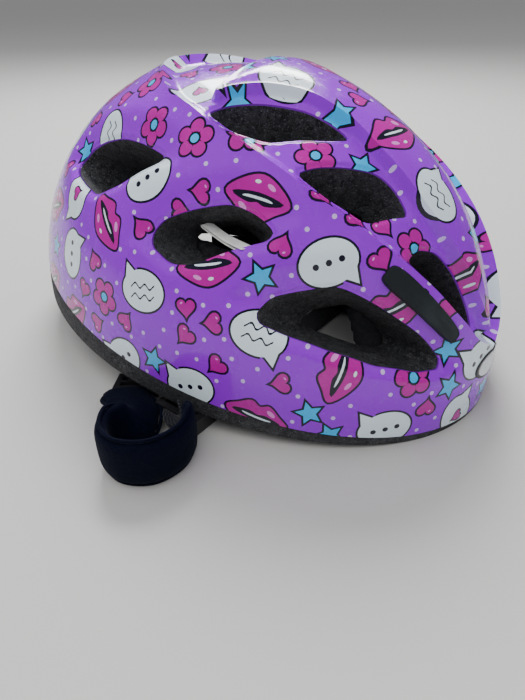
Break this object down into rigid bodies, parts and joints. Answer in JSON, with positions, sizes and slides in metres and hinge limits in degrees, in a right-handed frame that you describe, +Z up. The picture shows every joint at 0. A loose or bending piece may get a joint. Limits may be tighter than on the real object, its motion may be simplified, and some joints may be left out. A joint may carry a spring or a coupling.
{
  "type": "cycling helmet",
  "caption": "Child's cycling helmet: vented printed shell moulded on a foam liner, head ring with nape dial, pads, webbing, dividers, buckle and chin pad.",
  "frame": {"origin": "centre of the head opening, on the helmet's mid-plane, at the level of the surface it rests on", "axes": "+X the wearer's front, +Y the wearer's left, +Z up"},
  "size_m": [0.2726, 0.2342, 0.1407],
  "materials": {
    "shell": "gloss printed film",
    "foam": "moulded foam",
    "insert": "matte",
    "badge": "gloss",
    "black_plastic": "satin",
    "padding": "brushed knit",
    "hook_tape": "hooked",
    "ring_plastic": "satin",
    "gear_plastic": "satin",
    "dial_plastic": "satin",
    "steel": "plated",
    "webbing": "woven",
    "chin_fabric": "soft knit",
    "accent_plastic": "satin",
    "keeper_rubber": "matte",
    "label_fabric": "satin weave"
  },
  "bodies": {
    "helmet": {"outer_shell": "shell", "eps_liner": "foam", "front_insert_right": "insert", "front_insert_left": "insert", "front_badge": "badge", "strap_anchor_front_left": "black_plastic", "strap_anchor_front_right": "black_plastic", "strap_anchor_rear_left": "black_plastic", "strap_anchor_rear_right": "black_plastic", "pad_front": "padding", "pad_crown": "padding", "pad_rear": "padding", "pad_side_left": "padding", "pad_side_right": "padding", "hook_patches": "hook_tape", "ring_band": "ring_plastic", "ring_pins": "black_plastic", "ring_arm_left": "ring_plastic", "ring_arm_right": "ring_plastic", "cradle_housing": "black_plastic", "cradle_cover": "black_plastic", "cradle_screws": "steel", "nape_pad": "padding", "detent_spring": "steel", "strap_front_left": "webbing", "strap_rear_left": "webbing", "strap_front_right": "webbing", "strap_rear_right": "webbing", "divider_left": "black_plastic", "divider_right": "black_plastic", "lever_pins": "steel", "chin_strap_right": "webbing", "strap_slider": "black_plastic", "chin_pad": "chin_fabric", "buckle_socket": "black_plastic", "care_label": "label_fabric"},
    "dial": {"dial_knob": "dial_plastic", "dial_pinion": "gear_plastic", "dial_screw": "steel"},
    "rack_left": {"rack_left": "gear_plastic"},
    "rack_right": {"rack_right": "gear_plastic"},
    "lever_left": {"divider_lever_left": "black_plastic"},
    "lever_right": {"divider_lever_right": "black_plastic"},
    "tongue": {"buckle_tongue": "accent_plastic", "chin_strap_left": "webbing"},
    "keeper": {"strap_keeper": "keeper_rubber"}
  },
  "joints": [
    {"name": "dial_turn", "type": "hinge", "parent": "helmet", "child": "dial", "pos_m": [-0.089, 0, 0.016], "axis": [1, 0, 0], "range_deg": [0, 143]},
    {"name": "rack_left_slide", "type": "slide", "parent": "helmet", "child": "rack_left", "axis": [0, -1, 0], "range_m": [0, 0.01], "deforming": ["ring_arm_left"]},
    {"name": "rack_right_slide", "type": "slide", "parent": "helmet", "child": "rack_right", "axis": [0, 1, 0], "range_m": [0, 0.01], "deforming": ["ring_arm_right"]},
    {"name": "lever_left_open", "type": "hinge", "parent": "helmet", "child": "lever_left", "pos_m": [0.03, 0.055, 0.0094], "axis": [-1, 0, 0], "range_deg": [0, 95]},
    {"name": "lever_right_open", "type": "hinge", "parent": "helmet", "child": "lever_right", "pos_m": [-0.022, -0.039, 0.0094], "axis": [-1, 0, 0], "range_deg": [0, 95]},
    {"name": "buckle_release", "type": "slide", "parent": "helmet", "child": "tongue", "axis": [0, 1, 0], "range_m": [0, 0.024]},
    {"name": "keeper_slide", "type": "slide", "parent": "tongue", "child": "keeper", "axis": [0, 1, 0], "range_m": [-0.02, 0.03]}
  ],
  "couplings": [
    {"joint": "rack_left_slide", "follows": "dial_turn", "m_per_rad": 0.004},
    {"joint": "rack_right_slide", "follows": "dial_turn", "m_per_rad": 0.004}
  ]
}
